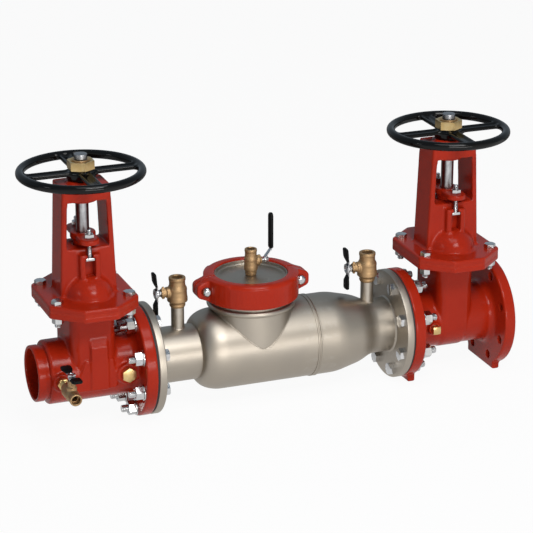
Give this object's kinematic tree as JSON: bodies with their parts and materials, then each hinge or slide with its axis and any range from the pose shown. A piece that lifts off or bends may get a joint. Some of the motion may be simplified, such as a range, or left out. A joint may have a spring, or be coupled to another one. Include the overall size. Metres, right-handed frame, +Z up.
{
  "type": "double check valve assembly",
  "caption": "Double check backflow assembly: stainless housing with two swing checks, clamped cover and test cocks, between two rising-stem gate valves.",
  "frame": {"origin": "centre of the grooved inlet end face, on the pipe axis", "axes": "+X along the pipe in the flow direction, +Z up along the valve stems, +Y to the rear"},
  "size_m": [1.0424, 0.3045, 0.5583],
  "materials": {
    "red_paint": "gloss enamel on iron castings",
    "stainless": "bead-blasted stainless, satin",
    "bronze": "cast bronze, satin",
    "brass": "machined yellow brass",
    "chrome": "chrome plate",
    "zinc": "bright zinc plate",
    "black_paint": "gloss black enamel",
    "black_vinyl": "dipped black vinyl",
    "stem_steel": "turned steel, oiled",
    "rubber": "black rubber"
  },
  "bodies": {
    "root": {"inlet_valve_body": "red_paint", "inlet_bonnet": "red_paint", "inlet_gland": "red_paint", "outlet_valve_body": "red_paint", "outlet_bonnet": "red_paint", "outlet_gland": "red_paint", "coupling_front_half": "red_paint", "coupling_rear_half": "red_paint", "bonnet_gaskets": "red_paint", "housing": "stainless", "housing_inlet_flange": "stainless", "housing_outlet_flange": "stainless", "access_cover": "stainless", "riser_nipples": "stainless", "check_1_seat": "stainless", "check_2_seat": "stainless", "check_hinge_pins": "stainless", "check_1_spring": "stainless", "check_2_spring": "stainless", "test_cock_1_body": "bronze", "test_cock_2_body": "bronze", "test_cock_3_body": "bronze", "test_cock_4_body": "bronze", "body_plugs": "brass", "inlet_test_nipple": "brass", "bonnet_bolts": "zinc", "bonnet_nuts": "zinc", "gland_bolts": "zinc", "gland_nuts": "zinc", "flange_bolts": "zinc", "flange_nuts": "zinc", "flange_washers": "zinc", "coupling_bolts": "zinc", "coupling_nuts": "zinc", "cover_gasket": "rubber", "flange_gaskets": "rubber", "gland_packing": "rubber"},
    "inlet_wheel": {"inlet_handwheel": "black_paint", "inlet_yoke_sleeve": "bronze", "inlet_wheel_nut": "bronze"},
    "inlet_gate": {"inlet_stem": "stem_steel", "inlet_wedge": "rubber"},
    "outlet_wheel": {"outlet_handwheel": "black_paint", "outlet_yoke_sleeve": "bronze", "outlet_wheel_nut": "bronze"},
    "outlet_gate": {"outlet_stem": "stem_steel", "outlet_wedge": "rubber"},
    "check_1_flap": {"check_1_clapper": "stainless", "check_1_disc": "rubber"},
    "check_2_flap": {"check_2_clapper": "stainless", "check_2_disc": "rubber"},
    "test_cock_1_turner": {"test_cock_1_ball": "chrome", "test_cock_1_handle": "black_vinyl"},
    "test_cock_2_turner": {"test_cock_2_ball": "chrome", "test_cock_2_handle": "black_vinyl"},
    "test_cock_3_turner": {"test_cock_3_ball": "chrome", "test_cock_3_handle": "chrome", "test_cock_3_grip": "black_vinyl"},
    "test_cock_4_turner": {"test_cock_4_ball": "chrome", "test_cock_4_handle": "black_vinyl"}
  },
  "joints": [
    {"name": "inlet_wheel_turn", "type": "hinge", "parent": "root", "child": "inlet_wheel", "pos_m": [0.1143, 0, 0.4075], "axis": [0, 0, 1], "range_deg": [0, 6120]},
    {"name": "inlet_gate_lift", "type": "slide", "parent": "root", "child": "inlet_gate", "axis": [0, 0, 1], "range_m": [0, 0.108]},
    {"name": "outlet_wheel_turn", "type": "hinge", "parent": "root", "child": "outlet_wheel", "pos_m": [0.9017, 0, 0.4075], "axis": [0, 0, 1], "range_deg": [0, 6120]},
    {"name": "outlet_gate_lift", "type": "slide", "parent": "root", "child": "outlet_gate", "axis": [0, 0, 1], "range_m": [0, 0.108]},
    {"name": "check_1_swing", "type": "hinge", "parent": "root", "child": "check_1_flap", "pos_m": [0.416, 0, 0.06], "axis": [0, -1, 0], "range_deg": [0, 60], "stiffness_Nm_per_rad": 0.15, "springref_deg": -34.38, "deforming": ["check_1_spring"]},
    {"name": "check_2_swing", "type": "hinge", "parent": "root", "child": "check_2_flap", "pos_m": [0.581, 0, 0.06], "axis": [0, -1, 0], "range_deg": [0, 60], "stiffness_Nm_per_rad": 0.15, "springref_deg": -34.38, "deforming": ["check_2_spring"]},
    {"name": "test_cock_1_turn", "type": "hinge", "parent": "root", "child": "test_cock_1_turner", "pos_m": [0.0449, -0.132, 0.038], "axis": [0, 0, 1], "range_deg": [0, 90]},
    {"name": "test_cock_2_turn", "type": "hinge", "parent": "root", "child": "test_cock_2_turner", "pos_m": [0.2657, 0, 0.134], "axis": [-1, 0, 0], "range_deg": [0, 90]},
    {"name": "test_cock_3_turn", "type": "hinge", "parent": "root", "child": "test_cock_3_turner", "pos_m": [0.496, 0, 0.178], "axis": [1, 0, 0], "range_deg": [0, 90]},
    {"name": "test_cock_4_turn", "type": "hinge", "parent": "root", "child": "test_cock_4_turner", "pos_m": [0.6819, 0, 0.134], "axis": [-1, 0, 0], "range_deg": [0, 90]}
  ],
  "couplings": [
    {"joint": "inlet_gate_lift", "follows": "inlet_wheel_turn", "m_per_rad": 0.0010111},
    {"joint": "outlet_gate_lift", "follows": "outlet_wheel_turn", "m_per_rad": 0.0010111}
  ]
}
